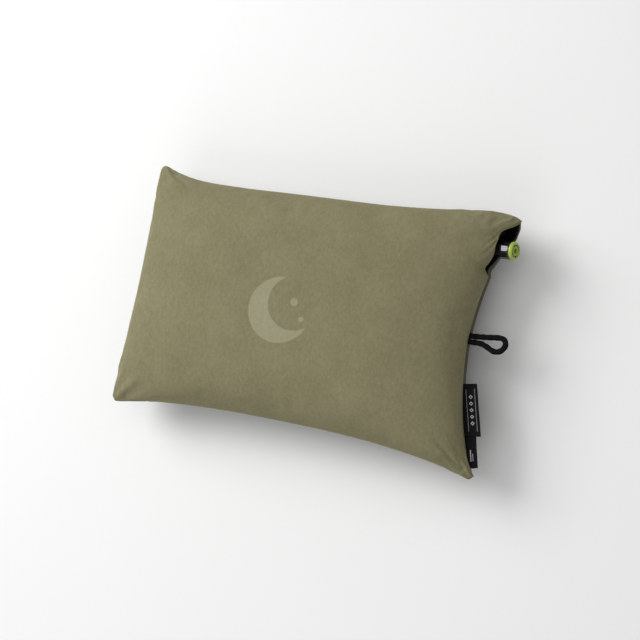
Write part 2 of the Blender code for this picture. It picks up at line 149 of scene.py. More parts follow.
# Small folds that run in from the corners of the face: both ends, how wide and how deep
CREASES = (
    (0.1940, -0.1090, 0.2070, -0.1290, 0.0024, 0.0026),
    (0.1990, -0.1010, 0.2060, -0.1180, 0.0018, 0.0016),
    (0.1850, -0.1230, 0.2030, -0.1360, 0.0022, 0.0020),
    (-0.2070, -0.1180, -0.1950, -0.1310, 0.0018, 0.0018),
    (-0.2100, -0.1080, -0.1990, -0.1220, 0.0020, 0.0014),
    (-0.2080, 0.1290, -0.1880, 0.1330, 0.0024, 0.0022),
    (0.1780, 0.0840, 0.1900, 0.0820, 0.0030, 0.0024),
    (0.1700, 0.1090, 0.1960, 0.1165, 0.0085, 0.0032),
)
CREASE_START, CREASE_FADE = 0.35, 0.004  # the depth's share at the first end, and its fade over the seam
SLIT_ENDS = (0.0815, 0.1365)
SLIT_REACH = 0.15  # how far in from the edge the opening's shape dies out, in grid units
FACING_REACH = 0.30  # how far in the linings run, in grid units
LINING, LINING_INSET = 0.0005, 0.0014  # their thickness, and how far inside the cover they lie

GRID_ALONG, GRID_ACROSS = 156, 112  # faces along and across each panel, and below, of the simulated bag
SIM_ALONG, SIM_ACROSS, SIM_FRAMES = 96, 64, 20
CLOTH_SLACK = -0.012  # below 0, the cloth is that much larger than the shape it starts from
MOST_MOVE, MOST_RISE = 0.0022, 0.001  # how far a point may move, and how far over the face's top it may come
KEPT_SWELL, BLUR_PASSES = 0.3, 40  # the share kept of the movement's long waves, and what counts as long


def curve_through(points, at):
    """A smooth curve through a few chosen points, flat past both ends."""
    xs, ys = np.array(points, float).T
    slopes = np.gradient(ys, xs)
    slopes[[0, -1]] = 0
    i = np.clip(np.searchsorted(xs, at) - 1, 0, len(xs) - 2)
    step = xs[i + 1] - xs[i]
    t = np.clip((at - xs[i]) / step, 0, 1)
    start, end = (2 * t - 3) * t * t + 1, (3 - 2 * t) * t * t
    rise = ((t - 2) * t + 1) * t * slopes[i] + (t - 1) * t * t * slopes[i + 1]
    return start * ys[i] + end * ys[i + 1] + rise * step


def crown(s):
    """The share of the full height at grid place s: 1 in the middle and 0 at the seam."""
    return np.maximum(0.0, 1 - np.abs(s) ** CROWN_POWER) ** CROWN_FULLNESS


def outline(u, v):
    """Half the length and half the width of the seam's outline at grid place (u, v)."""
    near_share = 1 - NEAR_FULLNESS * np.clip(-v, 0, 1)
    valve_end = LENGTH / 2 - VALVE_END_PINCH * (1 - v**2) * near_share
    plain_end = LENGTH / 2 - PLAIN_END_PINCH * (1 - v**2)
    far = curve_through(FAR_SIDE, u * LENGTH / 2)
    near = WIDTH / 2 - (NEAR_SIDE_PINCH + NEAR_SIDE_TILT * u) * (1 - np.abs(u) ** NEAR_SIDE_POWER)
    along, across = (1 + u) / 2, (1 + v) / 2
    return valve_end * along + plain_end * (1 - along), far * across + near * (1 - across)


def shape_tips(u, v, x, y):
    """Draws each corner tip out and blunts it with a soft slanting cut."""
    for (way_x, way_y), (out_x, out_y, blunt) in TIPS.items():
        near = (np.clip(way_x * u, 0, 1) * np.clip(way_y * v, 0, 1)) ** TIP_REACH
        x, y = x + way_x * out_x * near, y + way_y * out_y * near
        tip = LENGTH / 2 + out_x + WIDTH / 2 + out_y
        past = (way_x * x + way_y * y - tip) / math.sqrt(2) + blunt
        over = TIP_SOFTNESS * np.log1p(np.exp(np.minimum(past / TIP_SOFTNESS, MOST_EXPONENT)))
        x, y = x - way_x * over / math.sqrt(2), y - way_y * over / math.sqrt(2)
    return x, y


def spread(s):
    """Grid lines that crowd towards the seam, where the cloth turns over."""
    return np.sin(s * math.pi / 2)


def bare_cover(side, s, t):
    """The cover's outside before the cloth settles, for even grid places s and t from -1 to 1."""
    u, v = spread(s)[:, None], spread(t)[None, :]
    u, v = np.broadcast_arrays(u, v)
    half_length, half_width = outline(u, v)
    rise = FACE_TOP - SEAM_Z if side > 0 else SEAM_Z + FLATTENING
    height = rise * crown(u) * crown(v)
    bulge = OVERHANG * np.sin(math.pi * np.clip(height / (OVERHANG_SHARE * rise), 0, 1))
    groove = SEAM_GROOVE * np.exp(-((height / GROOVE_RISE) ** 2)) * (1 - np.abs(u * v) ** TIP_REACH)
    out = bulge - groove
    x = u * half_length + np.sign(u) * np.abs(u) ** WALL_POWER * out
    y = v * half_width + np.sign(v) * np.abs(v) ** WALL_POWER * out
    x, y = shape_tips(u, v, x, y)
    if side < 0:
        height = SEAM_Z - REST_SOFTNESS * np.log1p(np.exp((SEAM_Z - height) / REST_SOFTNESS))
    return np.stack([x, y, SEAM_Z + side * height], axis=-1)


# ---------------------------------------------------------------- cloth


def settle(sides):
    """Inflates the panels as one closed bag of cloth, its seam held, and returns each point's movement."""
    n, m = sides[1].shape[:2]
    number = {}
    verts, faces, pinned = [], [], []
    for side in (1, -1):
        for i in range(n):
            for j in range(m):
                rim = i in (0, n - 1) or j in (0, m - 1)
                if side < 0 and rim:
                    number[side, i, j] = number[1, i, j]
                    continue
                number[side, i, j] = len(verts)
                if rim:
                    pinned.append(len(verts))
                verts.append(sides[side][i, j])
        for i in range(n - 1):
            for j in range(m - 1):
                quad = [number[side, a, b] for a, b in ((i, j), (i + 1, j), (i + 1, j + 1), (i, j + 1))]
                faces.append(quad if side > 0 else quad[::-1])
    mesh = bpy.data.meshes.new("bag")
    mesh.from_pydata([tuple(p) for p in verts], [], faces)
    bag = bpy.data.objects.new("bag", mesh)
    bpy.context.scene.collection.objects.link(bag)
    group = bag.vertex_groups.new(name="seam")
    group.add(pinned, 1.0, "REPLACE")
    cloth = bag.modifiers.new("cloth", "CLOTH")
    settings = cloth.settings
    settings.quality = 6
    settings.mass = 0.12
    settings.tension_stiffness = settings.compression_stiffness = 30
    settings.shear_stiffness = 12
    settings.bending_stiffness = 0.04
    settings.air_damping = 2
    settings.use_pressure = True
    settings.uniform_pressure_force = 4
    settings.shrink_min = CLOTH_SLACK
    settings.vertex_group_mass = "seam"
    settings.effector_weights.gravity = 0
    cloth.collision_settings.use_collision = False
    scene = bpy.context.scene
    for number_of_frame in range(1, SIM_FRAMES + 1):
        scene.frame_set(number_of_frame)
    graph = bpy.context.evaluated_depsgraph_get()
    settled = bag.evaluated_get(graph).to_mesh()
    places = np.array([p.co for p in settled.vertices])
    bag.evaluated_get(graph).to_mesh_clear()
    scene.frame_set(1)
    bpy.data.objects.remove(bag)
    bpy.data.meshes.remove(mesh)
    moved = {}
    for side in (1, -1):
        index = np.array([[number[side, i, j] for j in range(m)] for i in range(n)])
        moved[side] = places[index] - sides[side]
    return moved


def resampling(old, new):
    """The matrix that reads a Catmull-Rom curve through values at even places old, at places new."""
    step = old[1] - old[0]
    where = np.clip((new - old[0]) / step, 0, len(old) - 1 - 1e-9)
    i = where.astype(int)
    t = where - i
    weights = (
        (-t + 2 * t**2 - t**3) / 2,
        (2 - 5 * t**2 + 3 * t**3) / 2,
        (t + 4 * t**2 - 3 * t**3) / 2,
        (t**3 - t**2) / 2,
    )
    matrix = np.zeros((len(new), len(old)))
    for k, weight in enumerate(weights):
        np.add.at(matrix, (np.arange(len(new)), np.clip(i + k - 1, 0, len(old) - 1)), weight)
    return matrix


def blurred(field, times):
    """The field with its short waves smoothed away, its rim held."""
    field = field.copy()
    for _ in range(times):
        inside = field[:-2, 1:-1] + field[2:, 1:-1] + field[1:-1, :-2] + field[1:-1, 2:]
        field[1:-1, 1:-1] = 0.5 * field[1:-1, 1:-1] + 0.125 * inside
    return field


def make_cover_shape(s, t):
    """Both panels' outside at grid places s and t, with the slit open: {side: points}."""
    sim_s, sim_t = np.linspace(-1, 1, SIM_ALONG + 1), np.linspace(-1, 1, SIM_ACROSS + 1)
    bare = {side: bare_cover(side, s, t) for side in (1, -1)}
    moved = settle({side: bare_cover(side, sim_s, sim_t) for side in (1, -1)})
    read_s, read_t = resampling(sim_s, s), resampling(sim_t, t)
    for side, field in moved.items():
        far = np.linalg.norm(field, axis=-1, keepdims=True)
        field = field * np.minimum(1, MOST_MOVE / np.maximum(far, 1e-9))
        field = field - (1 - KEPT_SWELL) * blurred(field, BLUR_PASSES)
        bare[side] = bare[side] + np.einsum("ai,ijk,bj->abk", read_s, field, read_t)
    bare[-1][..., 2] = np.maximum(bare[-1][..., 2], 0.0)
    bare[1][..., 2] = np.minimum(bare[1][..., 2], FACE_TOP + MOST_RISE)
    return {side: open_slit(side, points, s) for side, points in bare.items()}


def open_slit(side, points, s):
    """Folds the face at its corners, and opens the mouth that the valve looks out of.

    The face's edge is drawn up and back there, and the back's lip sticks out.
    """
    points = points.copy()
    x, y, z = points[..., 0], points[..., 1], points[..., 2]
    edge_y = y[-1:, :]
    inward = (1 - s)[:, None]
    near = np.exp(-((inward / SLIT_REACH) ** 2))
    if side > 0:
        for start_x, start_y, end_x, end_y, wide, deep in CREASES:
            along_x, along_y = end_x - start_x, end_y - start_y
            share = ((x - start_x) * along_x + (y - start_y) * along_y) / (along_x**2 + along_y**2)
            share = np.clip(share, 0, 1)
            off = np.hypot(x - start_x - share * along_x, y - start_y - share * along_y)
            depth = deep * (CREASE_START + (1 - CREASE_START) * share) * np.exp(-((off / wide) ** 2))
            z -= depth * np.clip((z - SEAM_Z) / CREASE_FADE, 0, 1)
        x -= curve_through(FACE_PULL, edge_y) * near
        z += curve_through(FACE_LIFT, edge_y) * near
    else:
        x += curve_through(LIP_OUT, edge_y) * near
        z -= curve_through(LIP_DROP, edge_y) * near
    return points


# ---------------------------------------------------------------- meshes

EDGE_ANGLE = math.radians(50)  # an edge that turns by more than this is rounded


def new_object(name, verts, faces, look, smooth=True):
    mesh = bpy.data.meshes.new(name)
    mesh.from_pydata([tuple(map(float, p)) for p in verts], [], faces)
    mesh.materials.append(look)
    if smooth:
        mesh.shade_smooth()
    made = bpy.data.objects.new(name, mesh)
    bpy.context.scene.collection.objects.link(made)
    return made


def grid_quads(n, m):
    """The faces of a grid of n rows and m columns of points."""
    corners = [i * m + j for i in range(n - 1) for j in range(m - 1)]
    return [(a, a + m, a + m + 1, a + 1) for a in corners]


def grid_object(name, points, look, flip=False):
    """A surface through a grid of points."""
    faces = [quad[::-1] if flip else quad for quad in grid_quads(*points.shape[:2])]
    return new_object(name, points.reshape(-1, 3), faces, look)


def thicken(piece, thickness, offset=-1):
    """Gives a surface its thickness: inwards, or to both sides with an offset of 0."""
    solid = piece.modifiers.new("thickness", "SOLIDIFY")
    solid.thickness = thickness
    solid.offset = offset
    solid.use_even_offset = False
    return piece


def round_edges(piece, width, segments):
    bevel = piece.modifiers.new("edge", "BEVEL")
    bevel.width, bevel.segments, bevel.angle_limit = width, segments, EDGE_ANGLE


# ---------------------------------------------------------------- materials


class Look:
    """A Principled material with a few named nodes added by short calls."""

    def __init__(self, name, color, roughness, **sockets):
        self.material = bpy.data.materials.new(name)
        self.material.use_nodes = True
        self.nodes = self.material.node_tree.nodes
        self.links = self.material.node_tree.links
        self.shader = self.nodes["Principled BSDF"]
        self.shader.inputs["Base Color"].default_value = (*color, 1)
        self.shader.inputs["Roughness"].default_value = roughness
        for socket, value in sockets.items():
            self.shader.inputs[socket.replace("_", " ")].default_value = value
        self.place = self.nodes.new("ShaderNodeTexCoord").outputs["Object"]

    def add(self, kind, inputs=(), **settings):
        node = self.nodes.new(kind)
        for key, value in settings.items():
            setattr(node, key, value)
        for key, value in dict(inputs).items():
            socket = node.inputs[key]
            if isinstance(value, bpy.types.NodeSocket):
                self.links.new(value, socket)
            else:
                socket.default_value = value
        return node

    def noise(self, scale, detail=3.0, stretch=(1, 1, 1), roughness=0.55):
        place = self.add("ShaderNodeMapping", {"Vector": self.place, "Scale": stretch})
        inputs = {"Vector": place.outputs[0], "Scale": scale, "Detail": detail, "Roughness": roughness}
        return self.add("ShaderNodeTexNoise", inputs).outputs["Fac"]

    def math(self, operation, a, b=0.0, clamp=False):
        return self.add("ShaderNodeMath", {0: a, 1: b}, operation=operation, use_clamp=clamp).outputs[0]

    def ramp(self, value, low, high):
        """value mapped so that low gives 0 and high gives 1."""
        inputs = {"Value": value, "From Min": low, "From Max": high}
        return self.add("ShaderNodeMapRange", inputs).outputs[0]

    def mix(self, share, a, b):
        inputs = {"Factor": share, 6: a, 7: b}
        return self.add("ShaderNodeMix", inputs, data_type="RGBA").outputs[2]

    def bump(self, height, strength, distance):
        inputs = {"Height": height, "Strength": strength, "Distance": distance}
        normal = self.add("ShaderNodeBump", inputs).outputs[0]
        self.links.new(normal, self.shader.inputs["Normal"])

    def color(self, socket):
        self.links.new(socket, self.shader.inputs["Base Color"])

    def rough(self, socket):
        self.links.new(socket, self.shader.inputs["Roughness"])

    def xyz(self):
        return self.add("ShaderNodeSeparateXYZ", {0: self.place}).outputs


def rgba(r, g, b):
    return (r, g, b, 1.0)


def dull(look, level):
    look.shader.inputs["Specular IOR Level"].default_value = level


WEAVE_LEAN = 0.7

MARK_AT = (-0.015, -0.004)
MOON_RADIUS, MOON_BITE, BITE_OFFSET = 0.036, 0.030, (0.0150, 0.0100)
PRINT_HEIGHTS = (SEAM_Z + 0.02, SEAM_Z + 0.022)  # the print is on the face only, above these
DOTS = ((0.0150, 0.0110, 0.0042), (0.0265, -0.0060, 0.0028))  # offset and radius of each
PRINT_EDGE = 0.0005  # half the width over which the print's edge fades


def moon_mask(look):
    """1 on a plain crescent moon with two dots, printed on the face."""
    x, y, z = look.xyz()

    def disc(off_x, off_y, radius):
        dx = look.math("SUBTRACT", x, MARK_AT[0] + off_x)
        dy = look.math("SUBTRACT", y, MARK_AT[1] + off_y)
        square = look.math("ADD", look.math("MULTIPLY", dx, dx), look.math("MULTIPLY", dy, dy))
        return look.ramp(look.math("SQRT", square), radius + PRINT_EDGE, radius - PRINT_EDGE)

    bite = look.math("SUBTRACT", 1.0, disc(*BITE_OFFSET, MOON_BITE))
    mark = look.math("MULTIPLY", disc(0, 0, MOON_RADIUS), bite)
    for dot in DOTS:
        mark = look.math("ADD", mark, disc(*dot), clamp=True)
    return look.math("MULTIPLY", mark, look.ramp(z, *PRINT_HEIGHTS))


def suede_look():
    """Brushed microsuede: fine grain, a mottle where the nap turns, wide patches, and the print."""
    look = Look("suede", (0.225, 0.207, 0.117), 0.95, Sheen_Weight=0.16, Sheen_Roughness=0.4)
    look.shader.inputs["Sheen Tint"].default_value = rgba(0.80, 0.76, 0.50)
    dull(look, 0.15)
    grain = look.noise(700, 2.0, stretch=(1.0, 0.6, 1.0))
    mottle = look.noise(260, 4.0, stretch=(1.0, 0.7, 1.0), roughness=0.7)
    patch = look.noise(22, 3.0)
    tone = look.math("MULTIPLY", look.ramp(grain, 0.25, 0.75), 0.30)
    tone = look.math("ADD", tone, look.math("MULTIPLY", look.ramp(mottle, 0.3, 0.7), 0.42))
    tone = look.math("ADD", tone, look.math("MULTIPLY", look.ramp(patch, 0.3, 0.7), 0.28))
    base = look.mix(tone, rgba(0.178, 0.165, 0.088), rgba(0.290, 0.268, 0.158))
    printed = look.mix(tone, rgba(0.275, 0.260, 0.160), rgba(0.370, 0.352, 0.232))
    look.color(look.mix(moon_mask(look), base, printed))
    look.bump(look.math("ADD", grain, mottle), 0.35, 0.0004)
    return look.material


def woven(look, pitch, depth, strength=0.5):
    """A plain weave along X and Y, which leans with Z so that it shows on upright cloth too."""
    x, y, z = look.xyz()
    lean = look.math("MULTIPLY", z, WEAVE_LEAN)
    turn = 2 * math.pi / pitch
    over = look.math("SINE", look.math("MULTIPLY", look.math("ADD", x, lean), turn))
    under = look.math("SINE", look.math("MULTIPLY", look.math("ADD", y, lean), turn))
    weave = look.math("MULTIPLY", over, under)
    look.bump(weave, strength, depth)
    return weave


def back_look():
    look = Look("back_weave", (0.070, 0.064, 0.033), 0.85, Sheen_Weight=0.05)
    weave = woven(look, 0.0011, 0.00012)
    patch = look.noise(30, 3.0)
    tone = look.math("ADD", look.math("MULTIPLY", weave, 0.18), look.ramp(patch, 0.2, 0.8))
    look.color(look.mix(tone, rgba(0.052, 0.048, 0.024), rgba(0.086, 0.079, 0.042)))
    return look.material


def dark_cloth_look(name, dark, light, pitch, roughness=0.85):
    look = Look(name, dark, roughness)
    dull(look, 0.15)
    weave = woven(look, pitch, 0.0001)
    tone = look.math("ADD", look.math("MULTIPLY", weave, 0.3), look.noise(60))
    look.color(look.mix(tone, rgba(*dark), rgba(*light)))
    return look.material


def plastic_look(name, color, roughness, speck=0.06, **sockets):
    """Moulded plastic or rubber, whose gloss and colour vary a little."""
    look = Look(name, color, roughness, **sockets)
    fine = look.noise(900, 2.0)
    wide = look.noise(70, 3.0)
    share = look.math("MULTIPLY", look.math("SUBTRACT", wide, 0.5), speck)
    shift = look.math("ADD", share, look.math("MULTIPLY", look.math("SUBTRACT", fine, 0.5), speck))
    look.rough(look.math("ADD", shift, roughness, clamp=True))
    darker = rgba(*(0.88 * c for c in color))
    lighter = rgba(*(min(1.0, 1.08 * c) for c in color))
    look.color(look.mix(look.ramp(wide, 0.3, 0.7), darker, lighter))
    look.bump(fine, 0.08, 0.00003)
    return look.material


def foam_look():
    look = Look("open_foam", (0.62, 0.60, 0.52), 0.95)
    cells = look.add("ShaderNodeTexVoronoi", {"Vector": look.place, "Scale": 900.0}).outputs["Distance"]
    # painted shade: each cell's middle, where the bump sinks into a pore, is painted darker
    look.color(look.mix(look.ramp(cells, 0.0, 0.6), rgba(0.42, 0.40, 0.33), rgba(0.68, 0.66, 0.58)))
    look.bump(cells, 0.7, 0.0005)
    return look.material


def cord_look():
    look = Look("braid", (0.003, 0.003, 0.003), 0.75)
    dull(look, 0.12)
    fibre = look.noise(2500, 2.0)
    look.color(look.mix(fibre, rgba(0.0015, 0.0015, 0.0020), rgba(0.0070, 0.0070, 0.0080)))
    look.bump(fibre, 0.4, 0.0001)
    return look.material


# ---------------------------------------------------------------- the cover


def make_cover(looks):
    """The face panel rides on the face's half, and the back panel on the back's half. Both are of cloth."""
    lines = [way * line for way in (-1, 1) for line in GROOVE_LINES]
    s = np.sort([*np.linspace(-1, 1, GRID_ALONG + 1), *lines])
    t = np.sort([*np.linspace(-1, 1, GRID_ACROSS + 1), *lines])
    shape = make_cover_shape(s, t)
    face = thicken(grid_object("face_panel", shape[1], looks["suede"]), CLOTH)
    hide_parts("cover_top_panel")
    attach(face, "face_half")
    press_with_face(face)
    back = thicken(grid_object("back_panel", shape[-1], looks["back"], flip=True), CLOTH)
    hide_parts("cover_bottom_panel")
    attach(back, "back_half")
    make_facings(shape, s, looks)


def press_with_face(piece):
    """Gives a piece its own copy of its mesh."""
    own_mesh(piece)


def make_facings(shape, s, looks):
    """The black linings just inside the slit's two edges. Both are sewn to the back, so they ride on it."""
    rows = s > 1 - FACING_REACH
    for side, node, name in (
        (1, "slit_facing_top", "face_lining"),
        (-1, "slit_facing_bottom", "back_lining"),
    ):
        edge_y = shape[side][-1, :, 1]
        columns = (edge_y > SLIT_ENDS[0]) & (edge_y < SLIT_ENDS[1])
        lining = shape[side][rows][:, columns] - np.array([LINING_INSET, 0, side * LINING_INSET])
        lining[-1, :, 0] -= LINING_INSET
        piece = thicken(grid_object(name, lining, looks["facing"], flip=side < 0), LINING)
        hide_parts(node)
        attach(piece, "back_half")
        if side > 0:
            press_with_face(piece)


# ---------------------------------------------------------------- the foam and the air cell

FOAM_RISE, FOAM_FOOT = 0.0450, 0.0240  # of its two sides, from the seam
FOAM_REACH = (0.86, 0.84)  # share of the half length and half width that it covers
FOAM_INSET, FOAM_EDGE = 0.002, 0.003
CELL_INSET = 0.016
CELL_RISES = {1: 0.0226, -1: 0.0500}  # of the top and the bottom sheet, from the seam
CELL_LOWEST = 0.0021
WELD_FLANGE, VALVE_FLANGE = 0.004, 0.002  # the welded rim's width, and the same at the valve's end
SHEET, SHEETS_APART = 0.0005, 0.0004  # the sheets' thickness, and what is left between them at the rim
BAFFLES = {"baffle_left": -0.5, "baffle_middle": 0.0, "baffle_right": 0.5}  # places along the half length
BAFFLE_REACH, BAFFLE_GAP, BAFFLE_ROWS = 0.64, 0.0014, 17
# The room that the sheets leave for the valve's base: its middle, its half width and its height
BASE_AT_Y, BASE_HALF, BASE_LIFT = 0.1055, 0.026, 0.0160
BASE_POWER, BASE_EDGE = 12, 0.0006
INNER_ALONG, INNER_ACROSS = 72, 48


def inner_skin(side, u, v, inset, rise):
    """A surface inside the cover. It makes room for the base that the valve stands in."""
    u, v = np.broadcast_arrays(u, v)
    half_length, half_width = outline(u, v)
    x, y = u * (half_length - inset), v * (half_width - inset)
    off = np.clip((y - BASE_AT_Y) / BASE_HALF, -1, 1)
    lift = BASE_LIFT * np.cos(off * math.pi / 2) ** 2 * np.clip(u, 0, 1) ** BASE_POWER
    return np.stack([x, y, SEAM_Z + side * (rise * crown(u) * crown(v) + lift)], axis=-1)


def make_foam(looks):
    """The open-cell pad under the face, with bevelled edges."""
    reach_u, reach_v = FOAM_REACH
    u = reach_u * np.linspace(-1, 1, INNER_ALONG + 1)[:, None]
    v = reach_v * np.linspace(-1, 1, INNER_ACROSS + 1)[None, :]
    top = inner_skin(1, u, v, FOAM_INSET, FOAM_RISE)
    foot = inner_skin(1, u, v, CELL_INSET, FOAM_FOOT)
    n, m = top.shape[:2]
    verts = [*top.reshape(-1, 3), *foot.reshape(-1, 3)]
    under = n * m
    faces = []
    for quad in grid_quads(n, m):
        faces += [quad, tuple(under + k for k in quad[::-1])]
    rim = [(i, 0) for i in range(n - 1)] + [(n - 1, j) for j in range(m - 1)]
    rim += [(i, m - 1) for i in range(n - 1, 0, -1)] + [(0, j) for j in range(m - 1, 0, -1)]
    rim = [i * m + j for i, j in rim]
    for a, b in zip(rim, rim[1:] + rim[:1]):
        faces.append((b, a, under + a, under + b))
    foam = new_object("foam_core", verts, faces, looks["foam"])
    round_edges(foam, FOAM_EDGE, 3)
    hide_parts("foam_pad")
    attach(foam, "face_half")
    press_with_face(foam)


def make_cell(looks):
    """The air cell's two sheets, welded round their rim, and the webs that hold them together."""
    even_u, even_v = np.linspace(-1, 1, INNER_ALONG + 1), np.linspace(-1, 1, INNER_ACROSS + 1)
    u, v = spread(even_u)[:, None], spread(even_v)[None, :]
    for side, node, name, body in (
        (1, "air_cell_top_sheet", "cell_top", "face_half"),
        (-1, "air_cell_bottom_sheet", "cell_bottom", "back_half"),
    ):
        points = inner_skin(side, u, v, CELL_INSET, CELL_RISES[side])
        points[..., 2] = np.maximum(points[..., 2] + side * (SHEET + SHEETS_APART), CELL_LOWEST)
        points = with_flange(points)
        sheet = thicken(grid_object(name, points, looks["cell"], flip=side < 0), SHEET)
        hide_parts(node)
        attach(sheet, body)
        if side > 0:
            press_with_face(sheet)
    make_baffles(looks)


def make_baffles(looks):
    """The webs between the two sheets. Each one rides on the face's half."""
    for name, place in BAFFLES.items():
        v = BAFFLE_REACH * np.linspace(-1, 1, INNER_ACROSS + 1)[None, :]
        top = inner_skin(1, place, v, CELL_INSET, CELL_RISES[1])[0]
        foot = inner_skin(-1, place, v, CELL_INSET, CELL_RISES[-1])[0]
        top[:, 2] -= BAFFLE_GAP
        foot[:, 2] = np.maximum(foot[:, 2], CELL_LOWEST) + BAFFLE_GAP
        share = np.linspace(0, 1, BAFFLE_ROWS)[:, None, None]
        points = foot + share * (top - foot)
        piece = thicken(grid_object(name.replace("baffle", "cell_web"), points, looks["cell"]), SHEET, 0)
        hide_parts(name)
        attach(piece, "face_half")
        press_with_face(piece)


def make_weld_base(looks):
    """The soft pad that the sheets are welded to round the valve's boot. It rides on the back's half."""
    solid = frame["nodes"]["valve_weld_base"]
    mesh = solid.data.copy()
    mesh.transform(solid.matrix_world)
    mesh.materials.clear()
    mesh.materials.append(looks["rubber"])
    pad = bpy.data.objects.new("weld_pad", mesh)
    bpy.context.scene.collection.objects.link(pad)
    round_edges(pad, BASE_EDGE, 2)
    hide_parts("valve_weld_base")
    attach(pad, "back_half")
    press_with_face(pad)


def with_flange(points):
    """The sheet with the flat rim that it is welded along."""
    wide = np.pad(points, ((1, 1), (1, 1), (0, 0)), mode="edge")
    wide[0, :, 0] -= WELD_FLANGE
    wide[-1, :, 0] += VALVE_FLANGE
    wide[:, 0, 1] -= WELD_FLANGE
    wide[:, -1, 1] += WELD_FLANGE
    return wide


# ---------------------------------------------------------------- the loop

LOOP_DIAMETER = 0.0058
LOOP_ROUTE = (
    (0.0000, 0.0032),
    (0.0070, 0.0037),
    (0.0165, 0.0048),
    (0.0250, 0.0061),
    (0.0308, 0.0062),
    (0.0346, 0.0037),
    (0.0356, -0.0005),
    (0.0338, -0.0050),
    (0.0300, -0.0082),
    (0.0252, -0.0089),
    (0.0203, -0.0074),
    (0.0155, -0.0050),
    (0.0102, -0.0034),
    (0.0050, -0.0031),
    (0.0000, -0.0032),
)
LOOP_ROOT, LOOP_BEND = 0.0040, 0.0030  # how far it runs on into the seam, and half of the stretch that bends
BRAID_STRANDS, BRAID_PITCH, BRAID_DEPTH, BRAID_SIDES = 8, 0.0075, 0.00022, 48
BRAID_PROUD = 0.00025  # how far the strands stand out from the cord's own diameter
LOOP_STEP = 0.0004  # between two rings of the cord's mesh


def smooth_route(points, step):
    """Points about a step apart on a Catmull-Rom curve through the route's own points."""
    ends = [2 * points[0] - points[1], *points, 2 * points[-1] - points[-2]]
    fine = [points[0]]
    for a, b, c, d in zip(ends, ends[1:], ends[2:], ends[3:]):
        count = max(1, round((c - b).length / step))
        for k in range(1, count + 1):
            t = k / count
            pull = (2 * a - 5 * b + 4 * c - d) * t * t + (3 * b - a - 3 * c + d) * t * t * t
            fine.append(b + ((c - a) * t + pull) / 2)
    return fine


def braided_tube(name, path, radius, look, around=BRAID_SIDES):
    """A tube along the path, whose surface is raised where the braid's strands cross."""
    verts, faces, along = [], [], 0.0
    for k, place in enumerate(path):
        before, after = path[max(k - 1, 0)], path[min(k + 1, len(path) - 1)]
        if k:
            along += (place - path[k - 1]).length
        ahead = (after - before).normalized()
        side = ahead.cross(Vector((0, 0, 1))).normalized()
        up = side.cross(ahead)
        phase = 2 * math.pi * along / BRAID_PITCH
        for m in range(around):
            angle = 2 * math.pi * m / around
            left = math.cos(BRAID_STRANDS / 2 * angle + phase)
            right = math.cos(BRAID_STRANDS / 2 * angle - phase)
            high = max(left * abs(left), right * abs(right))
            r = radius - BRAID_DEPTH * (1 - high)
            verts.append(place + side * (r * math.cos(angle)) + up * (r * math.sin(angle)))
    rings = len(path)
    for k in range(rings - 1):
        for m in range(around):
            n = (m + 1) % around
            faces.append((k * around + m, k * around + n, (k + 1) * around + n, (k + 1) * around + m))
    faces.append(tuple(range(around))[::-1])
    faces.append(tuple((rings - 1) * around + m for m in range(around)))
    return new_object(name, verts, faces, look)


def make_loop(looks):
    """The cord loop. Its two ends run on into the seam."""
    hinge = Vector(joints["loop_swing"]["pos_m"])
    route = [(-LOOP_ROOT, LOOP_ROUTE[0][1]), *LOOP_ROUTE, (-LOOP_ROOT, LOOP_ROUTE[-1][1])]
    path = smooth_route([hinge + Vector((x, y, 0)) for x, y in route], LOOP_STEP)
    loop = braided_tube("cord_loop", path, LOOP_DIAMETER / 2 + BRAID_PROUD, looks["cord"])
    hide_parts("hang_loop")
    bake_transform(loop)


# ---------------------------------------------------------------- the labels

# By CAD node: its joint, the body it flips with, its two ends and width, how far it lies below the seam's
# plane, and how far it is turned in that plane, about which place along it
LABELS = {
    "side_label": ("long_label_flip", "long_label", (-0.0280, 0.0280), 0.0155, 0.0, 0.060, 0.0),
    "care_label": ("short_label_flip", "short_label", (-0.0165, 0.0205), 0.0122, 0.0008, -0.090, 0.0180),
}
LABEL_CLOTH, LABEL_ROOT = 0.00028, 0.0038  # its thickness, and how far it runs on into the seam
LABEL_HALF_GAP = 0.75 * LABEL_CLOTH  # from the middle of the folded label to the middle of each layer
LABEL_FOLD = [math.radians(turned_by) for turned_by in range(90, -91, -30)]
LABEL_ROWS, LABEL_COLUMNS = 19, 49
RIPPLE, RIPPLE_ALONG, RIPPLE_ACROSS = 0.00035, 190, 60  # the height of its waves, and radians per metre


def label_profile(width):
    """The folded label's section, as its distance out from the hinge line and its height."""
    half = LABEL_HALF_GAP
    steps = np.linspace(-LABEL_ROOT, width - half, LABEL_ROWS)[:-1]
    fold = [(width - half + half * math.cos(a), half * math.sin(a)) for a in LABEL_FOLD]
    return [(x, half) for x in steps] + fold + [(x, -half) for x in steps[::-1]]


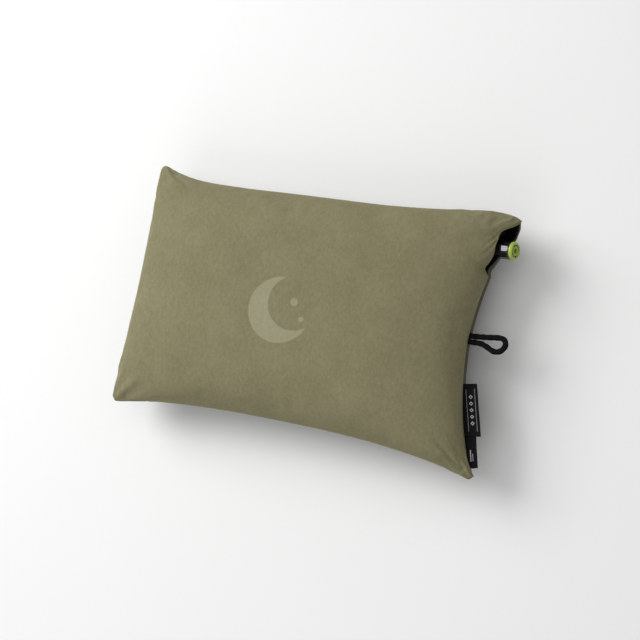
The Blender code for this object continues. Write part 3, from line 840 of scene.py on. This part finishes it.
def make_labels(looks):
    """Folded woven labels. Their cut edges are sewn into the seam."""
    for node, (joint_name, body, (low, high), width, drop, turn, about) in LABELS.items():
        hinge = Vector(joints[joint_name]["pos_m"])
        along = Vector(joints[joint_name]["axis"])
        along = along if along.y > 0 else -along
        out = along.cross(Vector((0, 0, 1)))
        points, places = [], []
        for x, z in label_profile(width):
            row = []
            for y in map(float, np.linspace(low, high, LABEL_COLUMNS)):
                places.append((x, y, z))
                ripple = RIPPLE * math.sin(y * RIPPLE_ALONG + x * RIPPLE_ACROSS) * x / width
                turned_x = x - turn * (y - about)
                row.append(hinge + out * turned_x + along * y + Vector((0, 0, z - drop + ripple)))
            points.append(row)
        points = np.array(points, float)
        label = grid_object(f"folded_{node}", points, looks[node], flip=True)
        place = label.data.attributes.new("label_place", "FLOAT_VECTOR", "POINT")
        place.data.foreach_set("vector", np.array(places, np.float32).ravel())
        thicken(label, LABEL_CLOTH, 0)
        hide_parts(node)
        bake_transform(label)


def label_look(name, mark):
    """Black satin weave with a plain white pattern. It reads each point's place on the label, so that the
    pattern stays with the cloth as the label flips."""
    look = Look(name, (0.006, 0.006, 0.007), 0.55)
    dull(look, 0.12)
    place = look.nodes.new("ShaderNodeAttribute")
    place.attribute_name = "label_place"
    look.place = place.outputs["Vector"]
    weave = woven(look, 0.0005, 0.00006, 0.6)
    tone = look.math("ADD", look.math("MULTIPLY", weave, 0.4), look.noise(300))
    cloth = look.mix(tone, rgba(0.0018, 0.0018, 0.0024), rgba(0.0075, 0.0075, 0.0090))
    thread = look.mix(tone, rgba(0.42, 0.42, 0.42), rgba(0.66, 0.66, 0.65))
    look.color(look.mix(mark(look), cloth, thread))
    return look.material


def band(look, value, low, high, soft=0.00008):
    """1 where value lies between low and high."""
    rise = look.ramp(value, low - soft, low + soft)
    fall = look.ramp(value, high + soft, high - soft)
    return look.math("MULTIPLY", rise, fall)


# The long label's diamonds: spacing, middle line, outer and inner edge, and the ends of their row
DIAMOND_PITCH, DIAMOND_AT = 0.0070, 0.0078
DIAMOND_OUTER, DIAMOND_INNER = (0.0023, 0.0021), (0.0010, 0.0012)
DIAMOND_ROW = (-0.0175, 0.0175)
LINES, LINE_ROW = ((0.0031, 0.0034), (0.0122, 0.0125)), (-0.0225, 0.0225)  # across, and the ends of both
BARS = (  # of the short label: across and along
    ((0.0048, 0.0060), (-0.0090, 0.0030)),
    ((0.0074, 0.0080), (-0.0090, -0.0010)),
)


def side_label_mark(look):
    """A row of small diamonds between two thin lines."""
    x, y, _ = look.xyz()
    turn = look.math("MULTIPLY", y, 2 * math.pi / DIAMOND_PITCH)
    wave = look.math("ARCCOSINE", look.math("MULTIPLY", look.math("COSINE", turn), 0.999))
    off_y = look.math("MULTIPLY", wave, DIAMOND_PITCH / (2 * math.pi))
    off_x = look.math("ABSOLUTE", look.math("SUBTRACT", x, DIAMOND_AT))
    off = look.math("ADD", off_x, off_y)
    ring = look.math("MULTIPLY", look.ramp(off, *DIAMOND_OUTER), look.ramp(off, *DIAMOND_INNER))
    diamonds = look.math("MULTIPLY", ring, band(look, y, *DIAMOND_ROW))
    lines = look.math("ADD", *(band(look, x, *edges) for edges in LINES))
    lines = look.math("MULTIPLY", lines, band(look, y, *LINE_ROW))
    return look.math("ADD", diamonds, lines, clamp=True)


def care_label_mark(look):
    """Two plain bars."""
    x, y, _ = look.xyz()
    bars = (look.math("MULTIPLY", band(look, x, *across), band(look, y, *along)) for across, along in BARS)
    return look.math("ADD", *bars, clamp=True)


# ---------------------------------------------------------------- the valve

VALVE_AT = Vector(joints["valve_twist"]["pos_m"])
VALVE_AXIS = Vector(joints["valve_slide"]["axis"]).normalized()
MOUTHPIECE = (  # radius and height of its outline
    (0.0055, 0.0030),
    (0.0066, 0.0030),
    (0.0066, 0.0152),
    (0.0094, 0.0152),
    (0.0098, 0.0156),
    (0.0098, 0.0164),
    (0.00965, 0.0175),
    (0.0093, 0.0184),
    (0.0087, 0.0190),
    (0.0081, 0.0192),
    (0.0077, 0.0191),
    (0.0075, 0.0188),
    (0.0074, 0.0183),
    (0.0072, 0.0180),
    (0.0050, 0.0180),
    (0.0049, 0.0183),
    (0.0048, 0.0189),
    (0.0046, 0.0192),
    (0.0037, 0.0192),
    (0.0034, 0.0190),
    (0.0032, 0.0186),
    (0.0032, 0.0149),
    (0.0055, 0.0149),
)
COLLAR = (  # radius and height of its outline, and how deep it is fluted there
    (0.0055, 0.0018, 0.0),
    (0.0086, 0.0018, 0.0),
    (0.0091, 0.0020, 0.3),
    (0.0095, 0.0025, 1.0),
    (0.0095, 0.0050, 1.0),
    (0.0095, 0.0080, 1.0),
    (0.0095, 0.0110, 1.0),
    (0.0095, 0.0136, 1.0),
    (0.0092, 0.0143, 0.5),
    (0.0087, 0.0147, 0.0),
    (0.0069, 0.0149, 0.0),
    (0.0069, 0.0027, 0.0),
    (0.0055, 0.0027, 0.0),
)
CAP_STEPS, FLUTES, FLUTE_STEPS, FLUTE_DEPTH = 96, 9, 14, 0.00050
SHARP_ANGLE = math.radians(48)
ARROWS, ARROW_SPAN, ARROW_HEAD = 2, math.radians(112), math.radians(30)
SPAN_STEPS, HEAD_STEPS = 24, 8
ARROW_MIDDLE, ARROW_HALF, ARROW_FLOOR, ARROW_RISE = 0.0061, 0.0004, 0.0179, 0.0004
HEAD_HALF, TIP_HALF = 0.0011, 0.00003


def valve_matrix():
    """Stands a shape made along +Z on the valve's axis."""
    across = Vector((0, 1, 0))
    up = across.cross(VALVE_AXIS)
    return Matrix.Translation(VALVE_AT) @ Matrix((up, across, VALVE_AXIS)).transposed().to_4x4()


def turned(name, outline_points, look, steps, flutes=0):
    """A turned ring, with flutes round it where its outline says so."""
    verts, faces = [], []
    place = valve_matrix()
    count = len(outline_points)
    for k in range(steps):
        angle = 2 * math.pi * k / steps
        for point in outline_points:
            radius, height = point[:2]
            if flutes:
                radius -= point[2] * FLUTE_DEPTH * (1 - math.cos(flutes * angle)) / 2
            verts.append(place @ Vector((radius * math.cos(angle), radius * math.sin(angle), height)))
        for m in range(count):
            a, b = k * count + m, k * count + (m + 1) % count
            c, d = (k + 1) % steps * count + m, (k + 1) % steps * count + (m + 1) % count
            faces.append((a, c, d, b))
    made = new_object(name, verts, faces, look)
    made.data.set_sharp_from_angle(angle=SHARP_ANGLE)
    return made


def make_arrows(looks):
    """Two curved arrows in the cap's ring, which show the way to turn."""
    place = valve_matrix()
    verts, faces = [], []
    for arrow in range(ARROWS):
        first = 2 * math.pi * arrow / ARROWS
        rows = [(first + ARROW_SPAN * k / SPAN_STEPS, ARROW_HALF) for k in range(SPAN_STEPS + 1)]
        for k in range(HEAD_STEPS + 1):
            share = k / HEAD_STEPS
            rows.append((first + ARROW_SPAN + ARROW_HEAD * share, HEAD_HALF * (1 - share) + TIP_HALF))
        base = len(verts)
        for angle, half in rows:
            for radius, height in (
                (ARROW_MIDDLE - half, 0),
                (ARROW_MIDDLE + half, 0),
                (ARROW_MIDDLE + half, ARROW_RISE),
                (ARROW_MIDDLE - half, ARROW_RISE),
            ):
                point = (radius * math.cos(angle), radius * math.sin(angle), ARROW_FLOOR + height)
                verts.append(place @ Vector(point))
        for k in range(len(rows) - 1):
            a = base + 4 * k
            for m in range(4):
                n = (m + 1) % 4
                faces.append((a + m, a + n, a + 4 + n, a + 4 + m))
        faces.append((base + 3, base + 2, base + 1, base))
        end = base + 4 * (len(rows) - 1)
        faces.append((end, end + 1, end + 2, end + 3))
    arrows = new_object("cap_arrows", verts, faces, looks["rubber"], smooth=False)
    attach(arrows, "valve_mouthpiece")


def make_valve(looks):
    """The lime cap with its arrows, and the fluted ring that is turned."""
    cap = turned("valve_cap", MOUTHPIECE, looks["lime"], CAP_STEPS)
    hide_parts("mouthpiece")
    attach(cap, "valve_mouthpiece")
    make_arrows(looks)
    collar = turned("grip_collar", COLLAR, looks["black"], FLUTE_STEPS * FLUTES, FLUTES)
    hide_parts("twist_collar")
    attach(collar, "valve_collar")


# ---------------------------------------------------------------- the stage

AIM = Vector((0.0158, -0.0037, SEAM_Z))
EYE_DISTANCE = 1.3348
EYE_AZIMUTH, EYE_ELEVATION, EYE_ROLL = math.radians(79.61), math.radians(71.09), math.radians(-68.48)
LENS, SENSOR = 67.5, 36
FLOOR_HALF, FLOOR_DROP = 3.0, 0.0002
LIGHTS = (  # name, place, size and power
    ("key", (-2.0, 0.9, 1.9), 1.7, 62),
    ("top", (-0.1, 0.3, 2.6), 2.2, 14),
    ("fill", (-0.2, -1.9, 1.5), 1.6, 9),
)
WORLD_STRENGTH = 0.27


def make_camera():
    back = Vector((
        math.sin(EYE_AZIMUTH) * math.cos(EYE_ELEVATION),
        -math.cos(EYE_AZIMUTH) * math.cos(EYE_ELEVATION),
        math.sin(EYE_ELEVATION),
    ))
    data = bpy.data.cameras.new("camera")
    data.lens, data.sensor_width = LENS, SENSOR
    camera = bpy.data.objects.new("camera", data)
    bpy.context.scene.collection.objects.link(camera)
    camera.rotation_mode = "QUATERNION"
    camera.location = AIM + back * EYE_DISTANCE
    camera.rotation_quaternion = (-back).to_track_quat("-Z", "Y") @ Quaternion((0, 0, 1), EYE_ROLL)
    bpy.context.scene.camera = camera


def area_light(name, place, size, power):
    """A white square light that looks at the pillow."""
    data = bpy.data.lights.new(name, "AREA")
    data.size, data.energy, data.color = size, power, (1, 1, 1)
    light = bpy.data.objects.new(name, data)
    bpy.context.scene.collection.objects.link(light)
    light.location = place
    light.rotation_mode = "QUATERNION"
    light.rotation_quaternion = (AIM - Vector(place)).to_track_quat("-Z", "Y")


def make_stage():
    look = Look("pale_floor", (0.95, 0.95, 0.945), 0.8)
    look.color(look.mix(look.noise(6.0), rgba(0.94, 0.94, 0.935), rgba(0.96, 0.96, 0.955)))
    corners = [(x * FLOOR_HALF, y * FLOOR_HALF, 0) for x, y in ((-1, -1), (1, -1), (1, 1), (-1, 1))]
    floor = new_object("floor", corners, [(0, 1, 2, 3)], look.material)
    floor.location.z = -FLOOR_DROP
    for light in LIGHTS:
        area_light(*light)
    world = bpy.data.worlds.new("studio")
    world.use_nodes = True
    world.node_tree.nodes["Background"].inputs["Color"].default_value = rgba(1.0, 1.0, 1.0)
    world.node_tree.nodes["Background"].inputs["Strength"].default_value = WORLD_STRENGTH
    bpy.context.scene.world = world
    bpy.context.scene.view_settings.view_transform = "Standard"


def make_looks():
    return {
        "suede": suede_look(),
        "back": back_look(),
        "facing": dark_cloth_look(
            "facing_cloth", (0.0015, 0.0015, 0.0018), (0.0050, 0.0050, 0.0055), 0.0009
        ),
        "cell": dark_cloth_look("cell_cloth", (0.003, 0.003, 0.004), (0.009, 0.009, 0.011), 0.0008, 0.60),
        "foam": foam_look(),
        "cord": cord_look(),
        "lime": plastic_look("lime_plastic", (0.400, 0.540, 0.075), 0.36),
        "black": plastic_look(
            "black_plastic", (0.0040, 0.0040, 0.0055), 0.16, Coat_Weight=0.6, Coat_Roughness=0.08
        ),
        "rubber": plastic_look("black_rubber", (0.0060, 0.0060, 0.0070), 0.50),
        "side_label": label_look("side_label_weave", side_label_mark),
        "care_label": label_look("care_label_weave", care_label_mark),
    }


def main():
    make_camera()
    looks = make_looks()
    make_loop(looks)
    make_cover(looks)
    make_foam(looks)
    make_cell(looks)
    make_weld_base(looks)
    make_valve(looks)
    make_labels(looks)
    for node, look in (
        ("valve_boot", "rubber"),
        ("valve_body", "black"),
        ("valve_plug", "black"),
        ("stem_o_ring", "rubber"),
        ("face_seal", "rubber"),
    ):
        frame["nodes"][node].data.materials.clear()
        frame["nodes"][node].data.materials.append(looks[look])
    make_stage()


main()
